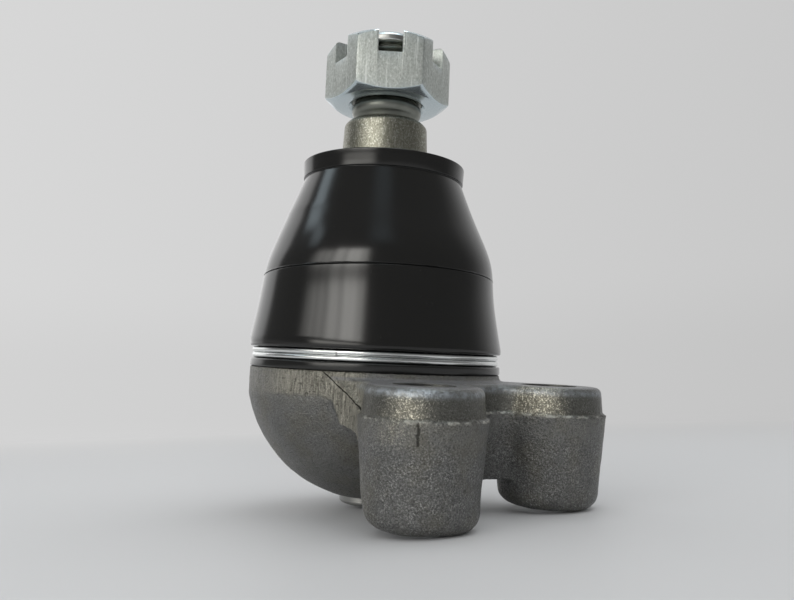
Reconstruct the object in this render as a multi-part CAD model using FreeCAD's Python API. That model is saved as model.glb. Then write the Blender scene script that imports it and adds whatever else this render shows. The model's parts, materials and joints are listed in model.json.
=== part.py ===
import FreeCAD, Part
import math
import os

# Suspension ball joint with two tapped bosses, in millimetres and degrees.
# The origin lies midway between the tapped holes, level with the bosses' flat pads.
# +Z runs along the stud and the tapped holes, and the stud stands on the -X side.
# The ball's centre is level with the pads.

# Arm fixing
hole_spacing = 34.7          # between the two tapped holes, along Y
stud_offset = 33.1           # from the line of the holes to the stud's axis
tap_radius = 5.4             # M12 x 1.25 tapping size
tap_lead = 0.8               # chamfer at the lower mouth of a tapped hole

# Ball and its seats
ball_radius = 17.5
seat_wall = 3.4              # seat thickness at the ball's equator
seat_floor = 1.5             # seat thickness under the ball
seat_split = 0.4             # gap between lower and upper seat
upper_seat_height = 7.2      # top of the upper seat above the ball's centre
grease_hole_radius = 4.0
ball_clearance = 0.05        # running fit of ball in seats
bore_clearance = 0.05        # running fit of the seats in the housing
face_gap = 0.05              # between parts that rest on each other

# Disc spring under the lower seat
spring_height = 1.3
spring_thickness = 0.8
spring_radius = 11.2

# Retaining ring under the rolled lip of the housing
ring_thickness = 1.5
ring_overhang = 1.0          # step in the bore that the ring lies on
ring_play = 0.5              # between the ring's mouth and the ball
rolled_lip = 1.1
lip_reach = 2.6              # how far the rolled lip covers the ring

# Forged housing
housing_wall = 5.6           # from the seat bore to the rim
floor_wall = 4.4
floor_bore_radius = 12.0     # flat floor of the cavity
bowl_bulge = 0.55            # bowl radius over rim radius
bowl_centre_height = 1.2
rim_height = 1.4             # rim above the pad
boss_radius = 11.0           # at the parting plane
boss_height = 23.1
boss_foot_round = 2.9
parting_depth = 5.3          # parting plane below the pad
parting_step = 0.6           # the upper die's shape is this much smaller
draft_angle = 5.0
web_depth = 17.9             # web between the bosses, below the pad
web_setback = 2.5            # front of the web behind the line of the holes
flank_depth = 9.5            # sheared flanks from bosses to bowl, below the pad
flank_knee_depth = 8.0       # bend in the flank's lower edge, below the pad
flank_knee_share = 0.3       # place of that bend on the way from bowl to boss
flank_fillet = 11.0
web_fillet = 4.0
pad_edge_round = 1.3
pad_corner_round = 0.8       # between the pad and the rim's wall
collar_wall = 1.3            # collar round the retaining ring
collar_groove_depth = 0.7
collar_groove_height = 3.0

# Bottom plug
plug_head_radius = 6.5
plug_head_height = 1.9
plug_shank_radius = 4.0
plug_socket_width = 5.0      # hexagon socket across flats
plug_socket_depth = 2.4
plug_edge_round = 0.8

# Boot, with heights above its foot
boot_height = 44.0
boot_sleeve_wall = 6.7       # rubber round the stud at the neck
boot_sleeve_length = 10.5    # length of the neck that grips the stud
boot_lip_height = 2.6
boot_lip_reach = 1.3         # how far the lip stands out from the neck
boot_lip_undercut = 0.3      # lip narrows by this much towards its lower edge
boot_cone_height = 30.3
boot_cone_inset = 5.5        # these insets are measured in from the bulge
boot_shoulder_height = 22.6
boot_shoulder_inset = 2.5
boot_waist_height = 17.0
boot_waist_inset = 1.95
boot_flare_height = 10.6
boot_flare_inset = 1.05
boot_bulge_height = 5.0
boot_strap_wall = 1.85       # rubber between the clip and the collar
boot_bulge_reach = 1.65      # how far the bulge stands out over the clip's groove
boot_foot_reach = 0.1        # how far the foot stands out over the rim
boot_wall = 2.5
boot_clearance = 0.1         # neck of the boot round the turning stud

# Wire clip round the boot's foot
wire_radius = 0.55
wire_pitch = 1.12            # between the two strands
wire_climb = 40.0            # angle over which the wire climbs to its second turn
wire_gap = 4.0               # angle between the wire's ends and its climb
wire_start = 120.0           # direction of the wire's lower end, from +X
clip_height = 2.8            # middle of the clip above the boot's foot
clip_groove_margin = 0.1

# Ring in the boot's neck
neck_ring_wall = 1.5
neck_ring_length = 5.5
neck_ring_depth = 2.8        # top of the ring below the boot's top
neck_ring_gap = 0.1          # between the ring and the rubber round it

# Stud
neck_radius = 8.6
neck_flare_height = 24.0     # start of the flare below the taper
taper_start_height = 31.0    # large end of the taper
taper_small_radius = 9.05
taper_ratio = 10.0           # length over change of diameter
exposed_taper = 10.0         # small end of the taper above the boot
taper_chamfer = 0.9
relief_radius = 7.3
relief_length = 3.9
undercut_depth = 0.5         # groove between the taper and the relief
undercut_width = 0.9
thread_radius = 7.7
tip_height = 2.0             # end of the stud above the nut
tip_radius = 7.0
tip_length = 2.4             # plain end past the thread
tip_chamfer = 0.9
cotter_radius = 2.0
cotter_lift = 0.3            # cross hole above the floor of the nut's slots
cotter_angle = 50.8          # direction of the cross hole, between two slots

# Slotted nut
nut_flats = 24.0
nut_height = 13.0
nut_chamfer_angle = 30.0
nut_face_margin = 0.4        # chamfer circle inside the flats
nut_bore_clearance = 0.05
nut_bore_chamfer = 0.7
slot_width = 5.2
slot_depth = 5.0
nut_angle = 20.8             # direction of one flat, from +X

# Worked-out places
origin = FreeCAD.Vector(0, 0, 0)
up = FreeCAD.Vector(0, 0, 1)
stud_axis = FreeCAD.Vector(-stud_offset, 0, 0)
bore_radius = ball_radius + seat_wall + bore_clearance
rim_radius = bore_radius + housing_wall
bowl_radius = rim_radius + bowl_bulge
cavity_floor = -(ball_radius + ball_clearance + seat_floor + spring_height)
bowl_bottom = cavity_floor - floor_wall
ring_bottom = upper_seat_height + face_gap
ring_top = ring_bottom + ring_thickness
collar_top = ring_top + face_gap + rolled_lip
ring_bore_radius = bore_radius + ring_overhang
collar_radius = ring_bore_radius + collar_wall
collar_fit = collar_radius + face_gap
boot_foot = rim_height + face_gap
boot_top = boot_foot + boot_height
clip_groove_radius = collar_fit + boot_strap_wall
boot_bulge_radius = clip_groove_radius + boot_bulge_reach
clip_z = boot_foot + clip_height
taper_top = boot_top + exposed_taper
nut_bottom = taper_top + relief_length
nut_top = nut_bottom + nut_height
stud_end = nut_top + tip_height
thread_start = nut_bottom - relief_length / 2
boss_places = [FreeCAD.Vector(0, side * hole_spacing / 2, 0) for side in (-1, 1)]


def taper_radius(z):
    return taper_small_radius + (taper_top - z) / (2 * taper_ratio)


def line(a, b):
    return Part.LineSegment(FreeCAD.Vector(*a), FreeCAD.Vector(*b)).toShape()


def arc(a, middle, b):
    return Part.Arc(FreeCAD.Vector(*a), FreeCAD.Vector(*middle), FreeCAD.Vector(*b)).toShape()


def lathe(profile, place=stud_axis):
    # turns a closed profile of (radius, height) points and ready edges about Z
    edges = []
    for start, end in zip(profile, profile[1:] + profile[:1]):
        if isinstance(start, tuple) and isinstance(end, tuple):
            edges.append(line((start[0], 0, start[1]), (end[0], 0, end[1])))
        elif not isinstance(start, tuple):
            edges.append(start)
    face = Part.Face(Part.Wire(Part.__sortEdges__(edges)))
    solid = face.revolve(origin, up, 360)
    solid.translate(place)
    return solid


def profile_arc(radius, centre_height, from_height, to_height):
    # arc of a sphere's section between two heights, with its two end points
    def point(z):
        return (math.sqrt(radius ** 2 - (z - centre_height) ** 2), 0, z)
    middle = (from_height + to_height) / 2
    start, end = point(from_height), point(to_height)
    return (start[0], start[2]), arc(start, point(middle), end), (end[0], end[2])


def disc(radius, bottom, top, place=stud_axis):
    return Part.makeCylinder(radius, top - bottom, place + FreeCAD.Vector(0, 0, bottom))


# Housing
def tangent_circle(first, first_radius, second, second_radius, radius, side):
    # centre of a circle that touches two others from outside, on one side of their line
    reach_a, reach_b = first_radius + radius, second_radius + radius
    apart = (second - first).Length
    along = (apart ** 2 + reach_a ** 2 - reach_b ** 2) / (2 * apart)
    across = math.sqrt(reach_a ** 2 - along ** 2)
    direction = (second - first).normalize()
    normal = FreeCAD.Vector(-direction.y, direction.x, 0)
    return first + direction * along + normal * across * side


def on_circle(centre, radius, towards):
    return centre + (towards - centre).normalize() * radius


def web_front(inset):
    # the web's flat front with a fillet to each boss, from the near boss to the far one
    boss, fillet = boss_radius - inset, web_fillet + inset
    centre_x = web_fillet - web_setback
    reach = math.sqrt((boss_radius + web_fillet) ** 2 - centre_x ** 2)
    edges, joints = [], []
    for place, side in zip(boss_places, (1, -1)):
        centre = FreeCAD.Vector(centre_x, place.y + side * reach, 0)
        foot = centre - FreeCAD.Vector(fillet, 0, 0)
        tangent = on_circle(place, boss, centre)
        middle = on_circle(centre, fillet, (foot + tangent) / 2)
        edges.append(Part.Arc(tangent, middle, foot).toShape())
        joints += [tangent, foot]
    flat = Part.LineSegment(joints[1], joints[3]).toShape()
    return [edges[0], flat, edges[1]], joints[0], joints[2]


def web_outline(inset, z):
    # bosses, bowl and the fillets between them, all drawn in by the same inset
    near, far = boss_places
    boss, rim = boss_radius - inset, rim_radius - inset
    low = tangent_circle(stud_axis, rim_radius, near, boss_radius, flank_fillet, -1)
    high = tangent_circle(stud_axis, rim_radius, far, boss_radius, flank_fillet, 1)
    front, near_end, far_end = web_front(inset)
    near_side = [
        on_circle(stud_axis, rim, low),
        low + (stud_axis + near - low * 2).normalize() * (flank_fillet + inset),
        on_circle(near, boss, low),
        near + FreeCAD.Vector(boss_radius, -boss_radius, 0).normalize() * boss,
        near_end,
    ]
    far_side = [
        far_end,
        far + FreeCAD.Vector(boss_radius, boss_radius, 0).normalize() * boss,
        on_circle(far, boss, high),
        high + (stud_axis + far - high * 2).normalize() * (flank_fillet + inset),
        on_circle(stud_axis, rim, high),
    ]
    arcs = [Part.Arc(*points[i:i + 3]).toShape() for points in (near_side, far_side) for i in (0, 2)]
    chord = Part.LineSegment(far_side[-1], near_side[0]).toShape()
    outline = Part.Wire(arcs[:2] + front + arcs[2:] + [chord])
    outline.translate(FreeCAD.Vector(0, 0, z))
    return outline


def web_between(inset, z):
    # the part of the outline that lies between the two bosses
    near, far = boss_places
    edges, near_end, far_end = web_front(inset)
    corners = [far_end, far, stud_axis, near, near_end]
    for a, b in zip(corners, corners[1:]):
        edges.append(Part.LineSegment(a, b).toShape())
    outline = Part.Wire(edges)
    outline.translate(FreeCAD.Vector(0, 0, z))
    return outline


def drafted(outline, from_z, to_z, inset):
    slope = math.tan(math.radians(draft_angle))
    narrowed = inset + abs(to_z - from_z) * slope
    return Part.makeLoft([outline(inset, from_z), outline(narrowed, to_z)], True, True)


def flank(place, side):
    # sheared wall between a boss and the bowl: the parting line falls along it from
    # the rim to the parting plane, and its lower edge drops to a bend and runs on to the boss
    centre = tangent_circle(stud_axis, rim_radius, place, boss_radius, flank_fillet, side)
    at_bowl = on_circle(stud_axis, rim_radius, centre)
    at_boss = on_circle(place, boss_radius, centre)
    run = at_boss - at_bowl
    inward = (place - stud_axis) * 0.5 + stud_axis - centre
    inward = inward.normalize() * flank_fillet

    def corner(share, z):
        return at_bowl + run * share - inward / 2 + FreeCAD.Vector(0, 0, z)
    edges = [
        Part.LineSegment(corner(0, rim_height), corner(1, -parting_depth)).toShape(),
        Part.LineSegment(corner(1, -parting_depth), corner(1, -flank_depth)).toShape(),
        Part.LineSegment(corner(1, -flank_depth), corner(flank_knee_share, -flank_knee_depth)).toShape(),
        Part.LineSegment(corner(flank_knee_share, -flank_knee_depth), corner(0, 0)).toShape(),
        Part.LineSegment(corner(0, 0), corner(0, rim_height)).toShape(),
    ]
    slab = Part.Face(Part.Wire(edges)).extrude(inward * 1.5)
    wall = Part.Face(web_outline(0, -flank_depth)).extrude(FreeCAD.Vector(0, 0, flank_depth))
    return wall.common(slab)


def boss(place):
    slope = math.tan(math.radians(draft_angle))
    foot_radius = boss_radius - (boss_height - parting_depth) * slope
    cone = Part.makeCone(foot_radius, boss_radius, boss_height - parting_depth,
                         place - FreeCAD.Vector(0, 0, boss_height))
    foot = [edge for edge in cone.Edges if edge.BoundBox.ZMax < -boss_height + 0.01]
    return cone.makeFillet(boss_foot_round, foot)


def pad_corner():
    # round in the corner between the pad and the rim's wall, which keeps the pad's
    # flat face clear of the boot
    reach = pad_corner_round
    slope = math.tan(math.radians(draft_angle))
    inset = parting_step + parting_depth * slope + face_gap
    curve = arc((rim_radius + reach, 0, 0),
                (rim_radius + reach * (1 - math.sqrt(0.5)), 0, reach * (1 - math.sqrt(0.5))),
                (rim_radius, 0, reach))
    ring = lathe([
        (rim_radius - reach, -reach), (rim_radius + reach, -reach), (rim_radius + reach, 0),
        curve, (rim_radius, reach), (rim_radius - reach, reach),
    ])
    prism = Part.Face(web_outline(inset, -reach)).extrude(FreeCAD.Vector(0, 0, reach * 2))
    return ring.common(prism)


def bowl():
    start, curve, end = profile_arc(bowl_radius, bowl_centre_height, bowl_bottom,
                                    bowl_centre_height - math.sqrt(bowl_radius ** 2 - rim_radius ** 2))
    groove_low = clip_z - collar_groove_height / 2
    groove_high = clip_z + collar_groove_height / 2
    groove = collar_radius - collar_groove_depth
    return lathe([
        (0, bowl_bottom), start, curve, end,
        (rim_radius, rim_height), (collar_radius, rim_height),
        (collar_radius, groove_low), (groove, groove_low + collar_groove_depth),
        (groove, groove_high - collar_groove_depth), (collar_radius, groove_high),
        (collar_radius, collar_top - rolled_lip), (collar_radius - rolled_lip, collar_top),
        (0, collar_top),
    ])


def cavity():
    shoulder = cavity_floor + spring_height + seat_wall
    return lathe([
        (0, cavity_floor), (floor_bore_radius, cavity_floor), (floor_bore_radius, shoulder),
        (bore_radius, shoulder + bore_radius - floor_bore_radius), (bore_radius, ring_bottom),
        (ring_bore_radius, ring_bottom), (ring_bore_radius, ring_top + face_gap),
        (ring_bore_radius - lip_reach, ring_top + face_gap),
        (ring_bore_radius - lip_reach, collar_top + 1), (0, collar_top + 1),
    ])


def tapped_hole(place):
    hole = disc(tap_radius, -boss_height - 1, 1, place)
    foot = Part.makeCone(tap_radius + tap_lead + 1, tap_radius, tap_lead + 1,
                         place - FreeCAD.Vector(0, 0, boss_height + 1))
    return hole.fuse(foot)


def housing():
    upper = drafted(web_outline, -parting_depth, 0, parting_step)
    top_edges = [edge for edge in upper.Edges if edge.BoundBox.ZMin > -0.01]
    chord = min(top_edges, key=lambda edge: edge.CenterOfMass.x)
    upper = upper.makeFillet(pad_edge_round, [edge for edge in top_edges if not edge.isSame(chord)])
    web = drafted(web_between, -parting_depth, -web_depth, 0)
    pieces = [upper, web]
    for place, side in zip(boss_places, (-1, 1)):
        pieces += [boss(place), flank(place, side)]
    body = bowl().fuse(pieces + [pad_corner()])
    plug_hole = disc(plug_shank_radius + face_gap, bowl_bottom - 1, cavity_floor + 1)
    holes = [tapped_hole(place) for place in boss_places]
    return body.cut([cavity(), plug_hole] + holes).removeSplitter()


# Plug in the bottom of the bowl
def grease_plug():
    head_bottom = bowl_bottom - face_gap - plug_head_height
    head = disc(plug_head_radius, head_bottom, bowl_bottom - face_gap)
    lower = [edge for edge in head.Edges if edge.BoundBox.ZMax < head_bottom + 0.01]
    head = head.makeFillet(plug_edge_round, lower)
    shank = disc(plug_shank_radius, bowl_bottom - face_gap, cavity_floor)
    socket_radius = plug_socket_width / math.sqrt(3)
    corners = [FreeCAD.Vector(socket_radius, 0, 0)]
    for step in range(1, 6):
        corner = FreeCAD.Rotation(up, 60 * step).multVec(corners[0])
        corners.append(corner)
    base = stud_axis + FreeCAD.Vector(0, 0, head_bottom)
    outline = Part.makePolygon([base + corner for corner in corners + corners[:1]])
    socket = Part.Face(outline).extrude(FreeCAD.Vector(0, 0, plug_socket_depth))
    return head.fuse(shank).cut(socket).removeSplitter()


# Seats, spring and retaining ring
def disc_spring():
    low, high = cavity_floor + face_gap, cavity_floor + spring_height - face_gap
    rise = high - low - spring_thickness
    return lathe([
        (grease_hole_radius, low + rise), (spring_radius, low),
        (spring_radius, low + spring_thickness), (grease_hole_radius, high),
    ])


def lower_seat():
    inner = ball_radius + ball_clearance
    outer = bore_radius - bore_clearance
    bottom = cavity_floor + spring_height
    top = -seat_split / 2
    shoulder = cavity_floor + spring_height + seat_wall
    hole_height = -math.sqrt(inner ** 2 - grease_hole_radius ** 2)
    start, curve, end = profile_arc(inner, 0, hole_height, top)
    slack = bore_clearance * math.tan(math.radians(22.5))
    return lathe([
        (grease_hole_radius, bottom), (floor_bore_radius - bore_clearance, bottom),
        (floor_bore_radius - bore_clearance, shoulder + slack),
        (outer, shoulder + slack + outer - floor_bore_radius + bore_clearance),
        (outer, top), end, curve, start,
    ])


def upper_seat():
    inner = ball_radius + ball_clearance
    outer = bore_radius - bore_clearance
    start, curve, end = profile_arc(inner, 0, seat_split / 2, upper_seat_height)
    return lathe([
        start, curve, end, (outer, upper_seat_height), (outer, seat_split / 2),
    ])


def retaining_ring():
    outer = ring_bore_radius - face_gap
    mouth = math.sqrt((ball_radius + ring_play) ** 2 - ring_bottom ** 2)
    return lathe([
        (mouth, ring_bottom), (outer, ring_bottom), (outer, ring_top), (mouth, ring_top),
    ])


# Stud with its ball, and the nut
def ball_stud():
    neck_height = math.sqrt(ball_radius ** 2 - neck_radius ** 2)
    ball = arc((0, 0, -ball_radius), (ball_radius, 0, 0), (neck_radius, 0, neck_height))
    thread_end = stud_end - tip_length
    undercut = relief_radius - undercut_depth
    groove_top = taper_top + undercut_width
    solid = lathe([
        (0, -ball_radius), ball, (neck_radius, neck_height),
        (neck_radius, neck_flare_height), (taper_radius(taper_start_height), taper_start_height),
        (taper_radius(taper_top - taper_chamfer), taper_top - taper_chamfer),
        (taper_small_radius - taper_chamfer, taper_top),
        (undercut, taper_top), (undercut, groove_top),
        (relief_radius, groove_top + undercut_depth), (relief_radius, thread_start),
        (thread_radius, thread_start + thread_radius - relief_radius),
        (thread_radius, thread_end - thread_radius + tip_radius), (tip_radius, thread_end),
        (tip_radius, stud_end - tip_chamfer), (tip_radius - tip_chamfer, stud_end), (0, stud_end),
    ])
    across = FreeCAD.Rotation(up, cotter_angle).multVec(FreeCAD.Vector(1, 0, 0))
    height = nut_top - slot_depth + cotter_lift + cotter_radius
    start = stud_axis + FreeCAD.Vector(0, 0, height) - across * thread_radius * 2
    hole = Part.makeCylinder(cotter_radius, thread_radius * 4, start, across)
    return solid.cut(hole)


def slotted_nut():
    corner_radius = nut_flats / math.sqrt(3)
    corners = []
    for step in range(7):
        turn = FreeCAD.Rotation(up, nut_angle + 30 + 60 * step)
        corners.append(turn.multVec(FreeCAD.Vector(corner_radius, 0, nut_bottom)) + stud_axis)
    prism = Part.Face(Part.makePolygon(corners)).extrude(FreeCAD.Vector(0, 0, nut_height))
    face_radius = nut_flats / 2 - nut_face_margin
    drop = (corner_radius + 1 - face_radius) * math.tan(math.radians(nut_chamfer_angle))
    bore = thread_radius + nut_bore_clearance
    blank = lathe([
        (bore + nut_bore_chamfer, nut_bottom), (face_radius, nut_bottom),
        (corner_radius + 1, nut_bottom + drop), (corner_radius + 1, nut_top - drop),
        (face_radius, nut_top), (bore + nut_bore_chamfer, nut_top),
        (bore, nut_top - nut_bore_chamfer), (bore, nut_bottom + nut_bore_chamfer),
    ])
    slots = []
    for step in range(3):
        slot = Part.makeBox(nut_flats * 2, slot_width, slot_depth + 1,
                            FreeCAD.Vector(-nut_flats, -slot_width / 2, nut_top - slot_depth))
        slot.rotate(origin, up, nut_angle + 60 * step)
        slot.translate(stud_axis)
        slots.append(slot)
    return prism.common(blank).cut(slots).removeSplitter()


# Boot with its clip and its neck ring
def boot_neck_radius():
    return taper_radius(boot_top) + boot_clearance + boot_sleeve_wall


def boot_side(wall, with_neck):
    # the boot's S-shaped side from its neck to its bulge, moved in by the wall
    places = [
        (boot_bulge_radius - boot_cone_inset, boot_cone_height),
        (boot_bulge_radius - boot_shoulder_inset, boot_shoulder_height),
        (boot_bulge_radius - boot_waist_inset, boot_waist_height),
        (boot_bulge_radius - boot_flare_inset, boot_flare_height),
        (boot_bulge_radius, boot_bulge_height),
    ]
    if with_neck:
        places = [(boot_neck_radius(), boot_height - boot_lip_height)] + places
    points = [FreeCAD.Vector(radius - wall, 0, boot_foot + height) for radius, height in places]
    curve = Part.BSplineCurve()
    curve.interpolate(points)
    ends = [(point.x, point.z) for point in (points[0], points[-1])]
    return ends[0], curve.toShape(), ends[1]


def boot():
    neck, outside, bulge = boot_side(0, True)
    cone, inside, foot = boot_side(boot_wall, False)
    sleeve_end = boot_top - boot_sleeve_length
    lip_low = boot_top - boot_lip_height
    ring_high = boot_top - neck_ring_depth + neck_ring_gap
    ring_low = ring_high - neck_ring_length - neck_ring_gap * 2
    ring_seat = taper_radius(ring_low) + boot_clearance + neck_ring_wall + neck_ring_gap
    groove_half = wire_pitch / 2 + wire_radius + clip_groove_margin
    foot_radius = rim_radius + boot_foot_reach
    lip_radius = boot_neck_radius() + boot_lip_reach
    bead_depth = collar_groove_depth
    groove_low = clip_z - collar_groove_height / 2
    groove_high = clip_z + collar_groove_height / 2
    return lathe([
        neck, outside, bulge,
        (boot_bulge_radius, clip_z + groove_half), (clip_groove_radius, clip_z + groove_half),
        (clip_groove_radius, clip_z - groove_half), (foot_radius, clip_z - groove_half),
        (foot_radius, boot_foot), (collar_fit, boot_foot),
        (collar_fit, groove_low), (collar_fit - bead_depth, groove_low + bead_depth),
        (collar_fit - bead_depth, groove_high - bead_depth), (collar_fit, groove_high),
        (foot[0], foot[1]), inside, cone,
        (taper_radius(sleeve_end) + boot_clearance, sleeve_end),
        (taper_radius(ring_low) + boot_clearance, ring_low), (ring_seat, ring_low),
        (ring_seat, ring_high), (taper_radius(ring_high) + boot_clearance, ring_high),
        (taper_radius(boot_top) + boot_clearance, boot_top),
        (lip_radius, boot_top), (lip_radius - boot_lip_undercut, lip_low),
    ])


def boot_neck_ring():
    # flat ring that carries the boot's neck on the stud's taper
    top = boot_top - neck_ring_depth
    bottom = top - neck_ring_length
    bore_low = taper_radius(bottom) + boot_clearance
    return lathe([
        (bore_low, bottom), (bore_low + neck_ring_wall, bottom),
        (bore_low + neck_ring_wall, top), (taper_radius(top) + boot_clearance, top),
    ])


def clip_point(radius, angle, z):
    turn = math.radians(angle)
    return FreeCAD.Vector(radius * math.cos(turn), radius * math.sin(turn), z)


def boot_clip():
    # one wire, two level turns and a climb between them
    radius = clip_groove_radius + wire_radius + face_gap
    low, high = clip_z - wire_pitch / 2, clip_z + wire_pitch / 2
    start = wire_start
    climb = start + 360 - wire_climb - wire_gap
    climb_end = climb + wire_climb
    end = climb_end + 360 - wire_climb - wire_gap
    first = Part.Arc(*[clip_point(radius, angle, low)
                       for angle in (start, (start + climb) / 2, climb)]).toShape()
    second = Part.Arc(*[clip_point(radius, angle, high)
                        for angle in (climb_end, (climb_end + end) / 2, end)]).toShape()
    rise = []
    for step in range(9):
        share = step / 8
        eased = share * share * (3 - 2 * share)
        rise.append(clip_point(radius, climb + share * wire_climb, low + eased * wire_pitch))
    curve = Part.BSplineCurve()
    curve.interpolate(rise, InitialTangent=clip_point(1, climb + 90, 0),
                      FinalTangent=clip_point(1, climb_end + 90, 0))
    path = Part.Wire([first, curve.toShape(), second])
    section = Part.Wire(Part.makeCircle(wire_radius, clip_point(radius, start, low),
                                        clip_point(1, start + 90, 0)))
    coil = path.makePipeShell([section], True, False)
    coil.translate(stud_axis)
    return coil


parts = {
    "housing": housing,
    "grease_plug": grease_plug,
    "disc_spring": disc_spring,
    "lower_seat": lower_seat,
    "upper_seat": upper_seat,
    "retaining_ring": retaining_ring,
    "ball_stud": ball_stud,
    "slotted_nut": slotted_nut,
    "boot": boot,
    "boot_neck_ring": boot_neck_ring,
    "boot_clip": boot_clip,
}

os.makedirs("parts", exist_ok=True)
for name, make in parts.items():
    shape = make()
    shape.exportStep("parts/" + name + ".step")
    box = shape.BoundBox
    print("%-15s solids %d valid %s volume %9.1f  z %.2f to %.2f" % (
        name, len(shape.Solids), shape.isValid(), shape.Volume, box.ZMin, box.ZMax))
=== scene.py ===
import json
import math

import bpy
import numpy as np
from mathutils import Matrix

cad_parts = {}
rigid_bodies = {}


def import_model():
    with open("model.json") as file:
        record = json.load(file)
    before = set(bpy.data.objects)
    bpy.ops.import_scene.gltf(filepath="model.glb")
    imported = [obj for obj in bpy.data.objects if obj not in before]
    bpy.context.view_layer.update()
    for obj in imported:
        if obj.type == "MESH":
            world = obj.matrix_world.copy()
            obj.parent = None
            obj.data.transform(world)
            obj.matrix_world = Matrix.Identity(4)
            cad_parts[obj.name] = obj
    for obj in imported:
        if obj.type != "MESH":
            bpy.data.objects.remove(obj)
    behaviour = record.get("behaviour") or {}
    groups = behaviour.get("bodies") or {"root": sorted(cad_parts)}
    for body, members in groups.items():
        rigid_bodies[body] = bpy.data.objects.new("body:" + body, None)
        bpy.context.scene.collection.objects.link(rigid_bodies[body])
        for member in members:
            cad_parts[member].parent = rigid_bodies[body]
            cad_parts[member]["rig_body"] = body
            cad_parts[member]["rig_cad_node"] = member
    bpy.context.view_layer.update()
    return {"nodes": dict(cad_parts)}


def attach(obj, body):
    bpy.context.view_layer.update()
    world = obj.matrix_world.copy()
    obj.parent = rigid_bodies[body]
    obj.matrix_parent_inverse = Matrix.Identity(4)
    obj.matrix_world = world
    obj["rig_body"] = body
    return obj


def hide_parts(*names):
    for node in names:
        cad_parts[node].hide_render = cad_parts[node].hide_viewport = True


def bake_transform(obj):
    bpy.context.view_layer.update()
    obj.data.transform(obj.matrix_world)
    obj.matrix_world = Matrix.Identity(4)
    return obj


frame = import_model()
nodes = frame["nodes"]
mm = 0.001
studX = -33.1     # the stud's axis, in mm, as all shapes below
rng = np.random.default_rng(7)
print("frame loaded, nodes:", len(nodes))


# Numpy tools

def smooth(t):
    # 0 to 1 with level ends: t squared times (3 - 2t)
    t = np.clip(t, 0, 1)
    return t * t * (3 - 2 * t)


def band(value, low, high, soft):
    # 1 between low and high, fading over soft on each side
    return smooth((value - low) / soft + 0.5) * smooth((high - value) / soft + 0.5)


latticeTable = rng.random(4096)


def noise(points, size, seed=0):
    # value noise, -1 to 1: random numbers on a cubic lattice of that size, in mm, smoothly blended
    p = points / size + 37.3 * (seed + 1)
    cell = np.floor(p).astype(np.int64)
    share = smooth(p - cell)
    total = np.zeros(len(points))
    for corner in range(8):
        step = np.array([corner & 1, corner >> 1 & 1, corner >> 2 & 1])
        spot = cell + step
        pick = (spot[:, 0] * 73856093 ^ spot[:, 1] * 19349663 ^ spot[:, 2] * 83492791) % 4096
        weight = np.prod(np.where(step == 1, share, 1 - share), axis=1)
        total += latticeTable[pick] * weight
    return total * 2 - 1


def corners(points, steps=5):
    # a line through (r, z, rounding) corners: each corner becomes an arc-like bend of that reach
    points = np.array(points, float)
    made = []
    for i, (r, z, reach) in enumerate(points):
        here = np.array([r, z])
        if reach <= 0 or i in (0, len(points) - 1):
            made.append(here[None])
            continue
        before, after = points[i - 1, :2] - here, points[i + 1, :2] - here
        a = here + before / np.linalg.norm(before) * min(reach, np.linalg.norm(before) * 0.49)
        b = here + after / np.linalg.norm(after) * min(reach, np.linalg.norm(after) * 0.49)
        t = np.linspace(0, 1, steps)[:, None]
        made.append((1 - t) ** 2 * a + 2 * t * (1 - t) * here + t ** 2 * b)
    return np.concatenate(made)


def divided(line, longest):
    # the same line with points added so that no run is longer than that
    runs = np.linalg.norm(np.diff(line, axis=0), axis=1)
    parts = np.maximum(1, np.ceil(runs / longest)).astype(int)
    pieces = [line[i] + (line[i + 1] - line[i]) * np.arange(n)[:, None] / n
              for i, n in enumerate(parts)]
    return np.concatenate(pieces + [line[-1:]])


def spline(points, count):
    # natural cubic spline through the points, by the chord lengths between them
    points = np.array(points, float)
    knots = np.concatenate([[0], np.cumsum(np.linalg.norm(np.diff(points, axis=0), axis=1))])
    gaps = np.diff(knots)
    size = len(points)
    matrix, right = np.eye(size), np.zeros((size, points.shape[1]))
    slopes = np.diff(points, axis=0) / gaps[:, None]
    inner = np.arange(1, size - 1)
    matrix[inner, inner] = 2 * (gaps[:-1] + gaps[1:])
    matrix[inner, inner - 1] = gaps[:-1]
    matrix[inner, inner + 1] = gaps[1:]
    right[inner] = 6 * np.diff(slopes, axis=0)
    bend = np.linalg.solve(matrix, right)
    at = np.linspace(0, knots[-1], count)
    i = np.clip(np.searchsorted(knots, at, side="right") - 1, 0, size - 2)
    h, a, b = gaps[i][:, None], (knots[i + 1] - at)[:, None], (at - knots[i])[:, None]
    return (bend[i] * a ** 3 + bend[i + 1] * b ** 3) / (6 * h) \
        + (points[i] / h - bend[i] * h / 6) * a + (points[i + 1] / h - bend[i + 1] * h / 6) * b


def gridFaces(rows, columns, closeRows):
    # four-sided faces between neighbouring grid points; the columns always close round
    a = np.arange(rows if closeRows else rows - 1)[:, None]
    b = np.arange(columns)[None]
    nextRow, nextColumn = (a + 1) % rows, (b + 1) % columns
    quads = np.stack([a * columns + b, a * columns + nextColumn,
                      nextRow * columns + nextColumn, nextRow * columns + b], -1)
    return quads.reshape(-1, 4)


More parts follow.
